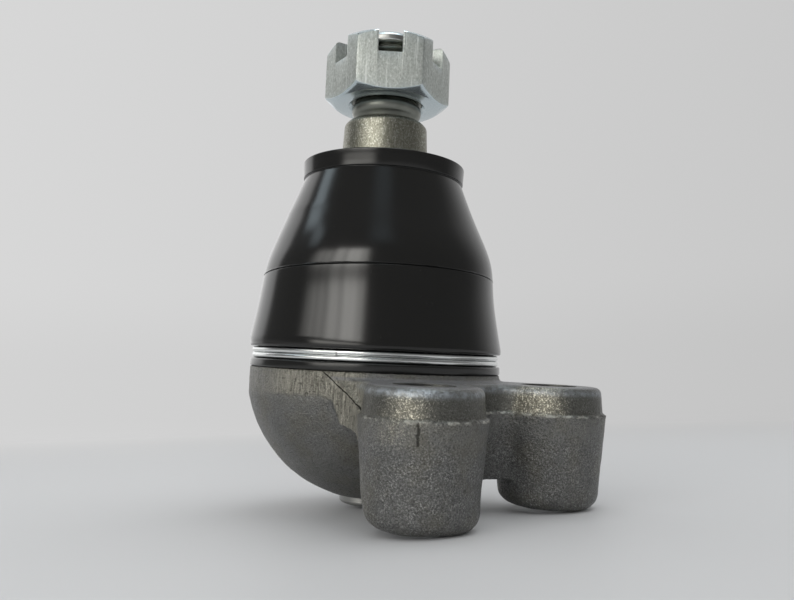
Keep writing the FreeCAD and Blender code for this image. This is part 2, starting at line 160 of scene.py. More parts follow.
def makeMesh(name, points, quads, triangles=()):
    # whole arrays into a mesh, turned to face outwards by the sign of its volume
    quads = np.asarray(quads, np.int64).reshape(-1, 4)
    triangles = np.asarray(triangles, np.int64).reshape(-1, 3)
    halves = np.concatenate([quads[:, [0, 1, 2]], quads[:, [0, 2, 3]], triangles])
    a, b, c = (points[halves[:, k]] for k in range(3))
    if np.einsum("ij,ij->i", a, np.cross(b, c)).sum() < 0:
        quads, triangles = quads[:, ::-1], triangles[:, ::-1]
    mesh = bpy.data.meshes.new(name)
    loops = np.concatenate([quads.ravel(), triangles.ravel()]).astype(np.int32)
    sizes = np.concatenate([np.full(len(quads), 4), np.full(len(triangles), 3)])
    starts = np.concatenate([[0], np.cumsum(sizes)[:-1]]).astype(np.int32)
    mesh.vertices.add(len(points))
    mesh.vertices.foreach_set("co", (points * mm).astype(np.float32).ravel())
    mesh.loops.add(len(loops))
    mesh.loops.foreach_set("vertex_index", loops)
    mesh.polygons.add(len(sizes))
    mesh.polygons.foreach_set("loop_start", starts)
    mesh.update(calc_edges=True)
    mesh.validate()
    piece = bpy.data.objects.new(name, mesh)
    bpy.context.scene.collection.objects.link(piece)
    return piece


def closedTube(name, rings, tips):
    # rings of points joined into a tube that a point closes at each end
    rows, columns = rings.shape[:2]
    ring, last, tip = np.arange(columns), (rows - 1) * columns + np.arange(columns), rows * columns
    fans = np.concatenate([
        np.stack([np.full(columns, tip), np.roll(ring, -1), ring], -1),
        np.stack([np.full(columns, tip + 1), last, np.roll(last, -1)], -1)])
    points = np.concatenate([rings.reshape(-1, 3), tips])
    return makeMesh(name, points, gridFaces(rows, columns, False), fans)


def turned(name, profile, columns, centre=(studX, 0), closed=False, shaped=None):
    # profile of (r, z) turned about an upright axis: x = r cos a, y = r sin a, z = z.
    # shaped(angle, r, z) may give a new r and z. An open profile gets a point at each end.
    angle = np.arange(columns) / columns * 2 * math.pi
    r = np.repeat(profile[:, :1], columns, 1)
    z = np.repeat(profile[:, 1:2], columns, 1)
    a = np.repeat(angle[None], len(profile), 0)
    if shaped is not None:
        r, z = shaped(a, r, z)
    rings = np.stack([centre[0] + r * np.cos(a), centre[1] + r * np.sin(a), z], -1)
    if closed:
        return makeMesh(name, rings.reshape(-1, 3), gridFaces(len(profile), columns, True))
    return closedTube(name, rings, np.array([[*centre, profile[0, 1]], [*centre, profile[-1, 1]]]))


def vectorsOf(items, key):
    # the same vector of every vertex or face, one row each
    flat = np.empty(len(items) * 3, np.float32)
    items.foreach_get(key, flat)
    return flat.reshape(-1, 3).astype(float)


def applied(piece):
    # the piece's mesh with its modifiers worked in
    bpy.context.view_layer.update()
    graph = bpy.context.evaluated_depsgraph_get()
    mesh = bpy.data.meshes.new_from_object(piece.evaluated_get(graph))
    old = piece.data
    piece.modifiers.clear()
    piece.data = mesh
    bpy.data.meshes.remove(old)
    return piece


def cut(piece, *tools, operation="DIFFERENCE"):
    for tool in tools:
        step = piece.modifiers.new("cut", "BOOLEAN")
        step.operation, step.solver, step.object = operation, "MANIFOLD", tool
    applied(piece)
    for tool in tools:
        bpy.data.objects.remove(tool)
    return piece


def shadeByAngle(piece, degrees):
    # smooth faces, with edges sharper than that left crisp
    mesh = piece.data
    mesh.shade_smooth()
    mesh.set_sharp_from_angle(angle=math.radians(degrees))
    return piece


# Material tools

class Nodes:
    def __init__(self, tree):
        self.tree = tree

    def feed(self, socket, value):
        # an output of another node is linked, anything else is the socket's own value
        if isinstance(value, bpy.types.NodeSocket):
            self.tree.links.new(value, socket)
        else:
            socket.default_value = (*value, 1) if socket.type == "RGBA" else value

    def add(self, kind, inputs=None, **settings):
        node = self.tree.nodes.new(kind)
        for key, value in settings.items():
            setattr(node, key, value)
        for key, value in (inputs or {}).items():
            self.feed(node.inputs[key], value)
        return node

    def math(self, kind, a, b=0.0):
        return self.add("ShaderNodeMath", {0: a, 1: b}, operation=kind).outputs[0]

    def times(self, first, *more):
        for value in more:
            first = self.math("MULTIPLY", first, value)
        return first

    def plus(self, a, b):
        return self.math("ADD", a, b)

    def dot(self, a, b):
        return self.add("ShaderNodeVectorMath", {0: a, 1: b}, operation="DOT_PRODUCT").outputs["Value"]

    def ranged(self, value, low, high, start=0.0, end=1.0, kind="SMOOTHSTEP"):
        # low to high mapped onto start to end, and held level outside
        return self.add("ShaderNodeMapRange", {
            "Value": value, "From Min": low, "From Max": high, "To Min": start, "To Max": end,
        }, interpolation_type=kind).outputs[0]

    def noise(self, scale, detail=3, rough=0.55, along=1.0, offset=(0, 0, 0)):
        # noise in the piece's own coordinates, drawn out upwards where along is under 1
        where = self.add("ShaderNodeTexCoord").outputs["Object"]
        where = self.add("ShaderNodeMapping", {
            "Vector": where, "Scale": (1, 1, along), "Location": offset}).outputs[0]
        return self.add("ShaderNodeTexNoise", {
            "Vector": where, "Scale": scale, "Detail": detail, "Roughness": rough}).outputs["Fac"]

    def fade(self, value, low, high, start=0.0, end=1.0):
        # grey ramp, straight from start at low to end at high
        node = self.add("ShaderNodeValToRGB", {"Fac": value})
        for i, (at, level) in enumerate(((low, start), (high, end))):
            node.color_ramp.elements[i].position = at
            node.color_ramp.elements[i].color = (level, level, level, 1)
        return node.outputs[0]

    def mix(self, share, a, b):
        return self.add("ShaderNodeMix", {0: share, 6: a, 7: b}, data_type="RGBA").outputs[2]

    def attribute(self, name):
        return self.add("ShaderNodeAttribute", attribute_name=name).outputs["Fac"]

    def bump(self, height, distance, strength=1.0):
        return self.add("ShaderNodeBump", {
            "Height": height, "Distance": distance, "Strength": strength}).outputs[0]


class Finish(Nodes):
    # a new material with its nodes and main shader
    def __init__(self, name):
        self.material = bpy.data.materials.new(name)
        self.material.use_nodes = True
        super().__init__(self.material.node_tree)
        self.shader = self.tree.nodes["Principled BSDF"]

    def surface(self, **sockets):
        for key, value in sockets.items():
            self.feed(self.shader.inputs[key.replace("_", " ")], value)
        return self.material


# Finishes

# painted light among these colours: the skin and crack tones are painted shade; the pale olive tone, its
# bright specks and the bluish rim tone are painted highlights and glints
scaleColours = {
    "dark": (0.13, 0.131, 0.129), "light": (0.2, 0.2, 0.19), "underGrain": (0.1, 0.101, 0.1),
    "pit": (0.05, 0.05, 0.047), "film": (0.14, 0.13, 0.095), "skin": (0.078, 0.077, 0.066),
    "grain": (0.32, 0.32, 0.315), "pepper": (0.045, 0.045, 0.042), "salt": (0.42, 0.42, 0.41),
    "highlightPatches": (0.26, 0.245, 0.19), "highlightGlints": (0.62, 0.59, 0.49), "shearDark": (0.14, 0.134, 0.11),
    "shearLight": (0.37, 0.355, 0.3), "shearSalt": (0.55, 0.53, 0.45), "shearPit": (0.06, 0.056, 0.044),
    "pad": (0.25, 0.25, 0.265), "rim": (0.42, 0.46, 0.5), "trim": (0.38, 0.375, 0.34),
    "crackShade": (0.016, 0.015, 0.012),
}


def forgedScale(c):
    # dark scaled forging: salt and pepper grain and a brown film, paler where the flash was sheared,
    # smooth above the bosses' parting line (skin), with painted shade darkening it, and coarse under it
    # (grainy), with painted highlights and glints in places and along the pads' rims, painted shade in
    # thin cracks, and trim flecks
    n = Finish("forgedScale")
    sheared, pad, skin, grainy, paintedHighlight, rim = (
        n.attribute(name) for name in ("sheared", "pad", "skin", "grainy", "paintedHighlight", "rim"))
    jitter = n.math("SUBTRACT", n.noise(600, 3, 0.6), 0.5)

    def lineShare(name, halfWidth, ragged):
        # 1 on the line where the piece's signed distance, in mm, is nought
        away = n.math("ABSOLUTE", n.plus(n.attribute(name), n.times(jitter, ragged)))
        return n.ranged(away, halfWidth * 0.4, halfWidth, 1.0, 0.0)
    # painted shade: near-black lines in the cracks, the crease and along the limb step
    crackShade = lineShare("flankLine", 0.17, 0.3)
    crackShade = n.math("MAXIMUM", crackShade, n.times(lineShare("creaseLine", 0.34, 0.9), 0.7))
    crackShade = n.math("MAXIMUM", crackShade, n.times(lineShare("limbLine", 0.3, 0.2), 0.6))
    trim = lineShare("trimLine", 0.3, 0.9)
    grain = n.noise(2300, 3, 0.6)
    fine = n.noise(5200, 2, 0.5)
    pits = n.noise(1250, 3, 0.6, offset=(5, 2, 1))
    clouds = n.noise(110, 4)
    speck = n.noise(3700, 2, 0.6, offset=(2, 4, 6))
    salt = n.fade(speck, 0.53, 0.64)
    patchy = n.fade(n.noise(420, 4, 0.7, offset=(8, 3, 5)), 0.38, 0.62, 0.25, 1)
    # patches for the painted highlights and glints below
    highlightPatches = n.fade(n.noise(900, 4, 0.7, offset=(8, 3, 5)), 0.4, 0.6, 0.35, 1)
    film = n.fade(n.noise(150, 4, offset=(3, 1, 2)), 0.45, 0.68, 0, 0.5)
    patches = n.fade(n.noise(420, 3, 0.6, offset=(1, 7, 3)), 0.48, 0.58)
    strokes = n.noise(2600, 3, 0.6, along=0.14)
    bright = n.mix(n.fade(strokes, 0.36, 0.64), c["shearDark"], c["shearLight"])
    bright = n.mix(n.times(salt, 0.35), bright, c["shearSalt"])
    bright = n.mix(n.fade(pits, 0.34, 0.42, 0.8, 0), bright, c["shearPit"])
    base = n.mix(clouds, c["dark"], c["light"])
    for share, colour in (
            (n.times(grainy, 0.6), c["underGrain"]),
            (n.fade(pits, 0.3, 0.44, 0.6, 0), c["pit"]),
            (film, c["film"]),
            # painted shade: the skin above the parting line darker
            (n.times(skin, 0.8), c["skin"]),
            (n.times(n.fade(grain, 0.5, 0.64), grainy, 0.22), c["grain"]),
            (n.fade(speck, 0.34, 0.46, 0.6, 0), c["pepper"]),
            (n.times(salt, patchy, n.plus(n.times(grainy, 0.4), 0.24)), c["salt"]),
            # painted highlight and glint specks where the bosses face the light, and painted light on the
            # recessed web
            (n.times(paintedHighlight, highlightPatches, 0.5), c["highlightPatches"]),
            (n.times(paintedHighlight, salt, highlightPatches), c["highlightGlints"]),
            (n.times(sheared, 0.9), bright),
            (n.times(pad, 0.55), c["pad"]),
            # painted highlight along the pads' rims
            (n.times(rim, highlightPatches, 0.8), c["rim"]),
            (n.times(trim, patches, 0.85), c["trim"]),
            # painted shade in the cracks, crease and limb line
            (crackShade, c["crackShade"])):
        base = n.mix(share, base, colour)
    height = n.plus(n.times(grain, 0.75), n.times(fine, 0.25))
    height = n.times(height, n.math("SUBTRACT", 1.0, n.times(skin, 0.55)))
    height = n.plus(height, n.times(strokes, sheared, 0.8))
    rough = n.plus(n.fade(grain, 0.3, 0.7, 0.5, 0.34), n.times(crackShade, 0.4))
    rough = n.math("SUBTRACT", rough, n.times(skin, 0.07))
    return n.surface(Base_Color=base, Metallic=0.65, Roughness=rough, Normal=n.bump(height, 0.0004))


def turnedSteel(name, light, dark, rough):
    n = Finish(name)
    rings = n.noise(60, 3, along=40)
    patches = n.noise(260, 3)
    return n.surface(Base_Color=n.mix(patches, dark, light), Metallic=1.0,
                     Roughness=n.fade(patches, 0.3, 0.7, rough, rough + 0.14),
                     Normal=n.bump(rings, 0.00003))


def studSteel():
    # taper ground along its height under an olive film, with fine pale speckle
    n = Finish("studSteel")
    streaks = n.noise(2600, 3, 0.6, along=0.22)
    speckle = n.noise(3600, 3, 0.6, along=0.7)
    film = n.noise(260, 3, along=0.4)
    base = n.mix(film, (0.185, 0.18, 0.14), (0.31, 0.305, 0.255))
    base = n.mix(n.fade(streaks, 0.5, 0.66, 0, 0.6), base, (0.42, 0.42, 0.36))
    base = n.mix(n.fade(speckle, 0.56, 0.66, 0, 0.85), base, (0.62, 0.62, 0.56))
    base = n.mix(n.fade(speckle, 0.34, 0.42, 0.7, 0), base, (0.11, 0.105, 0.08))
    height = n.plus(n.times(streaks, 0.6), n.times(speckle, 0.4))
    return n.surface(Base_Color=base, Metallic=1.0, Roughness=n.fade(speckle, 0.3, 0.7, 0.5, 0.34),
                     Normal=n.bump(height, 0.00006))


def zincPlate():
    # bright zinc with a bluish cast: flats brushed along their height and speckled, chamfers smooth
    n = Finish("zincPlate")
    normal = n.add("ShaderNodeTexCoord").outputs["Normal"]
    facing = n.math("ABSOLUTE", n.add("ShaderNodeSeparateXYZ", {0: normal}).outputs[2])
    sloped = n.fade(facing, 0.12, 0.4)
    brushed = n.noise(3400, 3, 0.6, along=0.12)
    speckle = n.noise(2900, 3, 0.65, along=0.6)
    scratches = n.noise(1700, 2, 0.5, along=0.04)
    clouds = n.noise(190, 3)
    base = n.mix(clouds, (0.46, 0.49, 0.465), (0.56, 0.585, 0.555))
    base = n.mix(n.fade(speckle, 0.37, 0.5, 0.6, 0), base, (0.31, 0.33, 0.3))
    base = n.mix(n.fade(speckle, 0.55, 0.69, 0, 0.7), base, (0.77, 0.8, 0.77))
    base = n.mix(n.fade(scratches, 0.62, 0.7, 0, 0.6), base, (0.8, 0.83, 0.8))
    base = n.mix(sloped, base, (0.6, 0.68, 0.71))
    rough = n.mix(sloped, n.fade(brushed, 0.3, 0.7, 0.46, 0.56), (0.18, 0.18, 0.18))
    height = n.plus(n.times(brushed, 0.5), n.times(speckle, 0.5))
    height = n.times(height, n.math("SUBTRACT", 1.15, sloped))
    return n.surface(Base_Color=base, Metallic=0.85, Roughness=rough, Normal=n.bump(height, 0.00005))


def bootRubber():
    # moulded black rubber, glossy, with faint flow marks and dust, and painted shade darkening the
    # parting line's groove
    n = Finish("bootRubber")
    flow = n.noise(70, 3, along=0.25)
    dust = n.noise(2300, 2, 0.5)
    base = n.mix(n.fade(dust, 0.7, 0.8, 0, 0.35), (0.0085, 0.0085, 0.008), (0.055, 0.055, 0.053))
    # painted shade in the parting line's groove
    base = n.mix(n.times(n.attribute("seam"), 0.7), base, (0.002, 0.002, 0.002))
    return n.surface(Base_Color=base, Metallic=0.0, Roughness=n.fade(flow, 0.3, 0.7, 0.14, 0.19),
                     IOR=1.5, Normal=n.bump(flow, 0.00012, 0.5))


def clipSteel():
    # drawn bright wire, dark in its one nick
    n = Finish("clipSteel")
    drawn = n.noise(500, 3, along=6)
    base = n.mix(drawn, (0.72, 0.74, 0.74), (0.84, 0.85, 0.84))
    base = n.mix(n.times(n.attribute("nick"), 0.55), base, (0.12, 0.1, 0.08))
    return n.surface(Base_Color=base, Metallic=1.0, Roughness=n.fade(drawn, 0.3, 0.7, 0.2, 0.26))


def seatPolymer():
    n = Finish("seatPolymer")
    flow = n.noise(240, 3)
    base = n.mix(flow, (0.66, 0.64, 0.58), (0.74, 0.72, 0.67))
    return n.surface(Base_Color=base, Roughness=n.fade(flow, 0.3, 0.7, 0.38, 0.5),
                     Normal=n.bump(flow, 0.00004))


steelGrades = {
    # light tone, dark tone, least roughness
    "turnedSteel": ((0.5, 0.5, 0.485), (0.36, 0.36, 0.345), 0.32),
    "threadSteel": ((0.3, 0.31, 0.28), (0.12, 0.125, 0.108), 0.28),
    "ringSteel": ((0.44, 0.44, 0.44), (0.3, 0.3, 0.3), 0.36),
    "springSteel": ((0.24, 0.24, 0.26), (0.14, 0.14, 0.16), 0.3),
}
finishes = {
    "forgedScale": forgedScale(scaleColours), "studSteel": studSteel(), "zincPlate": zincPlate(),
    "bootRubber": bootRubber(), "clipSteel": clipSteel(), "seatPolymer": seatPolymer(),
    **{name: turnedSteel(name, *grade) for name, grade in steelGrades.items()},
}
nodeFinishes = {
    "grease_plug": "turnedSteel", "disc_spring": "springSteel", "lower_seat": "seatPolymer",
    "upper_seat": "seatPolymer", "retaining_ring": "ringSteel", "boot_neck_ring": "ringSteel",
    "housing": "forgedScale", "ball_stud": "studSteel", "slotted_nut": "zincPlate",
    "boot": "bootRubber", "boot_clip": "clipSteel",
}


def dress(piece, finish, body, replaced):
    # finish, body to ride on, the CAD node it stands for and its material slot
    piece.data.materials.clear()
    piece.data.materials.append(finishes[finish])
    if body:
        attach(piece, body)
    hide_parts(replaced)


for nodeName, finish in nodeFinishes.items():
    cadMesh = nodes[nodeName].data
    if cadMesh.materials:
        for place in range(len(cadMesh.materials)):
            cadMesh.materials[place] = finishes[finish]
    else:
        cadMesh.materials.append(finishes[finish])
print("finishes made")


# Housing

housingSizes = {
    "voxel": 0.38,
    "rimHeight": 1.4, "rimRadius": 26.55, "collarRadius": 23.25, "collarTop": 9.9,
    "boreRadius": 20.95, "floorRadius": 12.0, "cavityFloor": -20.35, "shoulder": -15.65,
    "ringBottom": 7.25, "ringSeatTop": 8.8, "ringBore": 21.95, "lipReach": 2.6,
    "plugHole": 4.05, "bowlBottom": -24.75, "lowFill": [(5.5, -24.745), (5.5, -19.0)],
    "boreFill": [(12.3, -20.7), (12.5, -15.8), (21.3, -7.0), (21.3, 9.0)],
    "bossSpacing": 34.7, "bossRadius": 11.0, "bossBottom": -23.1,
    "tapRadius": 5.4, "tapDepth": 0.62, "tapPitch": 1.25, "tapLead": 0.8,
    "partingHeight": -5.3, "flankBend": 11.0,
    "kneeShare": 0.3, "kneeHeight": -8.0, "flankHeight": -9.5,
    "crackShares": [-0.04, 0.05, 0.09, 0.21, 0.34, 0.47, 0.57, 0.7, 0.9, 1.0],
    "crackHeights": [1.65, 0.6, 0.2, -1.05, -1.95, -2.75, -3.3, -4.0, -4.5, -5.3],
    "creaseTurn": -48.2, "waviness": 0.09, "grain": 0.03,
}


def threadedTool(s, side):
    # cutter for a tapped hole: radius plus a triangular tooth wound along z, and a cone at the low end
    rows = np.arange(s["bossBottom"] - 1.5, 1.5, s["tapPitch"] / 6)
    profile = np.stack([np.full(len(rows), s["tapRadius"]), rows], 1)

    def tooth(a, r, z):
        phase = (z / s["tapPitch"] - a / (2 * math.pi)) % 1
        deep = s["tapDepth"] * np.clip(1 - np.abs(phase - 0.5) * 2, 0.06, 0.9)
        inside = smooth((z - s["bossBottom"]) / 0.5) * smooth(-z / 0.5)
        return r + np.maximum(deep * inside, s["bossBottom"] + s["tapLead"] - z), z
    return turned("tapTool", profile, 48, (0, side * s["bossSpacing"] / 2), shaped=tooth)


def housingBlank(s):
    # merged copy of the forging with its bores filled, remeshed into even small faces
    blank = nodes["housing"].copy()
    blank.data = nodes["housing"].data.copy()
    blank.parent = None
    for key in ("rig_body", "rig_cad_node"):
        if key in blank:
            del blank[key]
    blank.name = "housingForging"
    blank.data.name = "housingForging"
    bpy.context.scene.collection.objects.link(blank)
    weld = blank.modifiers.new("weld", "WELD")
    weld.merge_threshold = 2e-6
    fillLow = turned("fillLow", np.array(s["lowFill"]), 64)
    fillBore = turned("fillBore", np.array(s["boreFill"]), 96)
    taps = [turned("tapFill", np.array([(6.6, s["bossBottom"] + 0.001), (6.6, -0.001)]), 48,
                   (0, side * s["bossSpacing"] / 2)) for side in (-1, 1)]
    top = turned("top", np.array([(40.0, s["rimHeight"]), (40.0, 30.0)]), 48)
    for tool in [fillLow, *taps, fillBore]:
        step = blank.modifiers.new("fill", "BOOLEAN")
        step.operation, step.solver, step.object = "UNION", "MANIFOLD", tool
    step = blank.modifiers.new("top", "BOOLEAN")
    step.operation, step.solver, step.object = "DIFFERENCE", "MANIFOLD", top
    remesh = blank.modifiers.new("even", "REMESH")
    remesh.mode, remesh.voxel_size = "VOXEL", s["voxel"] * mm
    applied(blank)
    for tool in [fillLow, fillBore, top, *taps]:
        bpy.data.objects.remove(tool)
    return blank


def flankPlaces(s, side):
    # where the sheared flank between bowl and boss starts and ends, and the centre of its hollow bend
    stud, boss = np.array([studX, 0.0]), np.array([0.0, side * s["bossSpacing"] / 2])
    reachA, reachB = s["rimRadius"] + s["flankBend"], s["bossRadius"] + s["flankBend"]
    apart = np.linalg.norm(boss - stud)
    along = (apart ** 2 + reachA ** 2 - reachB ** 2) / (2 * apart)
    across = math.sqrt(reachA ** 2 - along ** 2)
    way = (boss - stud) / apart
    centre = stud + way * along + np.array([-way[1], way[0]]) * across * side
    atBowl = stud + (centre - stud) / np.linalg.norm(centre - stud) * s["rimRadius"]
    atBoss = boss + (centre - boss) / np.linalg.norm(centre - boss) * s["bossRadius"]
    return centre, atBowl, atBoss


def signedLine(distance, share):
    # a signed distance that keeps its value where share is 1 and grows past any line's width elsewhere
    return distance + np.where(distance < 0, -9.0, 9.0) * (1 - share)


def housingZones(points, s):
    # shares from 0 to 1 for sheared metal, milled pad, smooth skin that the finish also darkens as
    # painted shade, coarse grain, painted highlights on the bosses and on the pads' rims, and signed
    # distances to the lines on the surface
    x, y, z = points.T
    fromStud = np.hypot(x - studX, y)
    turn = np.degrees(np.abs(np.arctan2(y, x - studX)))
    ragged = noise(points, 2.2, 11)
    sheared = band(z, -3.6 + 0.8 * ragged, 2.0, 0.9) * band(fromStud, 25.0, 27.8, 0.6)
    sheared *= 0.3 + 0.6 * smooth((98 - turn) / 22)
    sheared *= 1 - smooth((x + 15) / 2)
    crackLine, limbLine = np.full(len(points), 9.0), np.full(len(points), 9.0)
    onFlank = np.zeros(len(points))
    for side in (-1, 1):
        centre, atBowl, atBoss = flankPlaces(s, side)
        run = atBoss - atBowl
        length = math.sqrt(run @ run)
        share = ((points[:, :2] - atBowl) @ run) / length ** 2
        near = smooth((s["flankBend"] + 2.4 - np.hypot(x - centre[0], y - centre[1])) / 0.8) \
            * band(share, -0.06, 1.06, 0.08) * (y * side > 0)
        upper = np.interp(share, s["crackShares"], s["crackHeights"])
        lower = np.interp(share, [0, s["kneeShare"], 1], [0, s["kneeHeight"], s["flankHeight"]])
        flank = near * smooth((z - lower + 0.2 * ragged) / 0.4 + 0.5) * band(z, -20, 1.6, 0.4)
        sheared = np.maximum(sheared, flank)
        fromCrack = (z - upper) / math.hypot(1, 0.5)
        crackLine = np.where(near > 0, signedLine(fromCrack, near * (z < 1.35)), crackLine)
        below = near * band(z, s["flankHeight"] - 3.5, s["partingHeight"], 1.0) * (share > 0.8)
        limbLine = np.where(below > 0, signedLine((share - 0.99) * length, below), limbLine)
        onFlank = np.maximum(onFlank, near * (share < 0.98))
    pad = smooth((z + 0.35) / 0.3) * smooth((0.6 - z) / 0.3) * smooth((x + 20) / 2)
    trim = smooth((x + 17) / 2) * (1 - onFlank) * smooth((fromStud - 28.2) / 0.5)
    away = math.radians(s["creaseTurn"])
    across = (y + s["bossSpacing"] / 2) * math.cos(away) - x * math.sin(away)
    creaseShare = band(z, -9.3, s["partingHeight"] + 0.2, 0.6) * (y < -18)
    onBoss = smooth((x + 14) / 3)
    upperDie = band(z, s["partingHeight"], 0.4, 0.8)
    # smooth die skin above the parting line; its darker colour in the finish is painted shade under the
    # boot
    skin = onBoss * upperDie * (1 - pad)
    grainy = onBoss * smooth((-7.0 - z + 0.8 * ragged) / 5)
    half = s["bossSpacing"] / 2
    reach = np.minimum(np.hypot(x, y + half), np.hypot(x, y - half))

    def facing(side, turn, spread):
        # 1 where a boss faces that turn about its own axis, and 0 well away from it
        turns = np.degrees(np.arctan2(y - side * half, x))
        return np.exp(-((turns - turn) / spread) ** 2) * (y * side > 8)
    # painted highlights: a glint cluster where the near boss faces the window, painted light on the
    # recessed web between the bosses where shade falls, and a faint highlight band on the far boss
    paintedHighlight = np.max([
        facing(-1, -59, 17) * band(z, -6.0 + ragged, -0.9, 1.2),
        0.7 * facing(-1, -70, 15) * band(z, -8.6 + ragged, -3.5, 4.5),
        1.5 * upperDie * smooth((y + 8) / 2) * smooth((12.5 - y) / 4) * smooth((x + 1) / 2),
        0.15 * facing(1, -24, 9) * band(z, -21.5, -5, 2)], axis=0)
    # painted highlight along the pads' rounded rims, stronger where the near boss's rim faces the light
    rim = onBoss * np.exp(-((z + 1.0) / 0.55) ** 2) * smooth((reach - 8) / 0.5)
    rim *= 0.7 + 0.9 * facing(-1, -52, 24)
    return {"sheared": sheared, "pad": pad, "skin": skin, "grainy": grainy, "paintedHighlight": onBoss * paintedHighlight,
            "rim": rim, "flankLine": crackLine, "limbLine": limbLine,
            "trimLine": signedLine(z - s["partingHeight"], trim),
            "creaseLine": signedLine(across, creaseShare)}


def roughen(piece, s):
    # every vertex moves along its normal by layered noise, with shear marks, trimmed flash and a crease
    mesh = piece.data
    points = vectorsOf(mesh.vertices, "co") / mm
    normals = vectorsOf(mesh.vertex_normals, "vector")
    x, y, z = points.T
    angle, fromStud = np.arctan2(y, x - studX), np.hypot(x - studX, y)
    zones = housingZones(points, s)
    rimTop = smooth((z - 0.9) / 0.4) * smooth((28 - fromStud) / 0.5)
    push = s["waviness"] * (noise(points, 7, 1) + 0.5 * noise(points, 2.8, 2))
    push += s["grain"] * (noise(points, 0.95, 3) + 0.7 * noise(points, 0.55, 4))
    push += smooth((-17.0 - z) / 4) * 0.3 * noise(points, 7.5, 5) * smooth((x + 14) / 2)
    strokes = noise(np.stack([angle * 26.5, z / 9, fromStud / 30], 1), 0.62, 6) \
        + 0.7 * noise(np.stack([angle * 26.5, z / 14, fromStud / 30], 1), 1.3, 7)
    push += zones["sheared"] * (0.08 * strokes + 0.05 * noise(points, 0.7, 8))
    push -= 0.12 * np.exp(-(zones["flankLine"] / 0.3) ** 2)
    trimmed = np.exp(-(zones["trimLine"] / 0.34) ** 2) * (np.abs(normals[:, 2]) < 0.8)
    push += trimmed * (0.04 + 0.13 * np.clip(noise(points, 1.1, 9) + 0.2, 0, 1))
    push -= 0.12 * np.exp(-(zones["creaseLine"] / 0.35) ** 2)
    push *= 1 - 0.85 * np.maximum(zones["pad"], rimTop)
    moved = points + normals * push[:, None]
    moved[:, 2] += trimmed * 0.2 * noise(points, 1.3, 12)
    mesh.vertices.foreach_set("co", (moved * mm).astype(np.float32).ravel())
    mesh.update()


def machined(piece, s):
    # collar joined on, then the bores and the tapped holes cut, all crisp
    groove, low, high = 0.7, 2.75, 5.75
    collar = corners([
        (21.0, s["rimHeight"] - 0.6, 0), (s["collarRadius"], s["rimHeight"] - 0.6, 0),
        (s["collarRadius"], low, 0), (s["collarRadius"] - groove, low + groove, 0.1),
        (s["collarRadius"] - groove, high - groove, 0.1), (s["collarRadius"], high, 0),
        (s["collarRadius"], s["collarTop"] - 1.1, 0.5), (s["collarRadius"] - 1.1, s["collarTop"], 0.5),
        (20.0, s["collarTop"], 0), (20.0, s["rimHeight"] - 0.6, 0)], 4)
    cut(piece, turned("collar", collar, 160, closed=True), operation="UNION")
    lipRadius = s["ringBore"] - s["lipReach"]
    bore = np.array([
        (s["plugHole"], s["bowlBottom"] - 3), (s["plugHole"], s["cavityFloor"]),
        (s["floorRadius"], s["cavityFloor"]), (s["floorRadius"], s["shoulder"]),
        (s["boreRadius"], s["shoulder"] + s["boreRadius"] - s["floorRadius"]),
        (s["boreRadius"], s["ringBottom"]), (s["ringBore"], s["ringBottom"]),
        (s["ringBore"], s["ringSeatTop"]), (lipRadius, s["ringSeatTop"]),
        (lipRadius, s["collarTop"] + 1)])
    cut(piece, turned("bore", bore, 160), *[threadedTool(s, side) for side in (-1, 1)])


def addAttribute(piece, name, values):
    spot = piece.data.attributes.new(name, "FLOAT", "POINT")
    spot.data.foreach_set("value", np.asarray(values, np.float32))


def cutFaces(mesh, s):
    # which faces lie on the walls of the tapped holes, the bore or the collar, all of them turned bright
    x, y, z = vectorsOf(mesh.polygons, "center").T / mm
    fromTap = np.hypot(x, np.abs(y) - s["bossSpacing"] / 2)
    inTap = (fromTap < 6.15) & (z < -0.01) & (z > s["bossBottom"] + 0.1)
    fromStud = np.hypot(x - studX, y)
    inCone = (fromStud < z - s["shoulder"] + s["floorRadius"] + 0.2) & (fromStud < 22.1)
    inBore = (fromStud < 23.4) & (z > s["cavityFloor"] - 0.1) & ((z > 1.45) | inCone)
    return inTap | inBore


housing = housingBlank(housingSizes)
roughen(housing, housingSizes)
machined(housing, housingSizes)
for zone, values in housingZones(vectorsOf(housing.data.vertices, "co") / mm, housingSizes).items():
    addAttribute(housing, zone, values)
shadeByAngle(housing, 38)
dress(housing, "forgedScale", "base", "housing")
housing.data.materials.append(finishes["turnedSteel"])
housing.data.polygons.foreach_set("material_index", cutFaces(housing.data, housingSizes).astype(np.int32))
print("housing:", len(housing.data.polygons), "faces")


# Boot

bootSizes = {
    "lip": [(17.65, 45.45), (17.45, 42.05)], "neck": (17.1, 41.95),
    "side": [(21.3, 31.75), (24.3, 24.05), (24.85, 18.45), (25.75, 12.05), (26.8, 6.45)],
    "wall": 2.5, "grooveRadius": 25.15, "groove": (3.04, 5.46), "footRadius": 26.65, "foot": 1.45,
    "collarFit": 23.3, "columns": 320,
    "seamHeight": 20.45, "seamDepth": 0.2, "seamWidth": 0.1, "seamRise": 1.15, "seamTurn": -25.0,
    "dentTurn": -122.0,      # the dent's rows are a push outward and its height
    "dent": [(0, 0), (0.3, 8.5), (0.3, 12), (0.16, 19), (-0.12, 22), (-0.48, 26), (-0.3, 30), (0, 34)],
    "sleeve": [(10.175, 34.95), (10.07, 37.05), (11.67, 37.05), (11.67, 42.75), (9.785, 42.75)],
    "bendStart": 7.0, "bendEnd": 34.5,
}


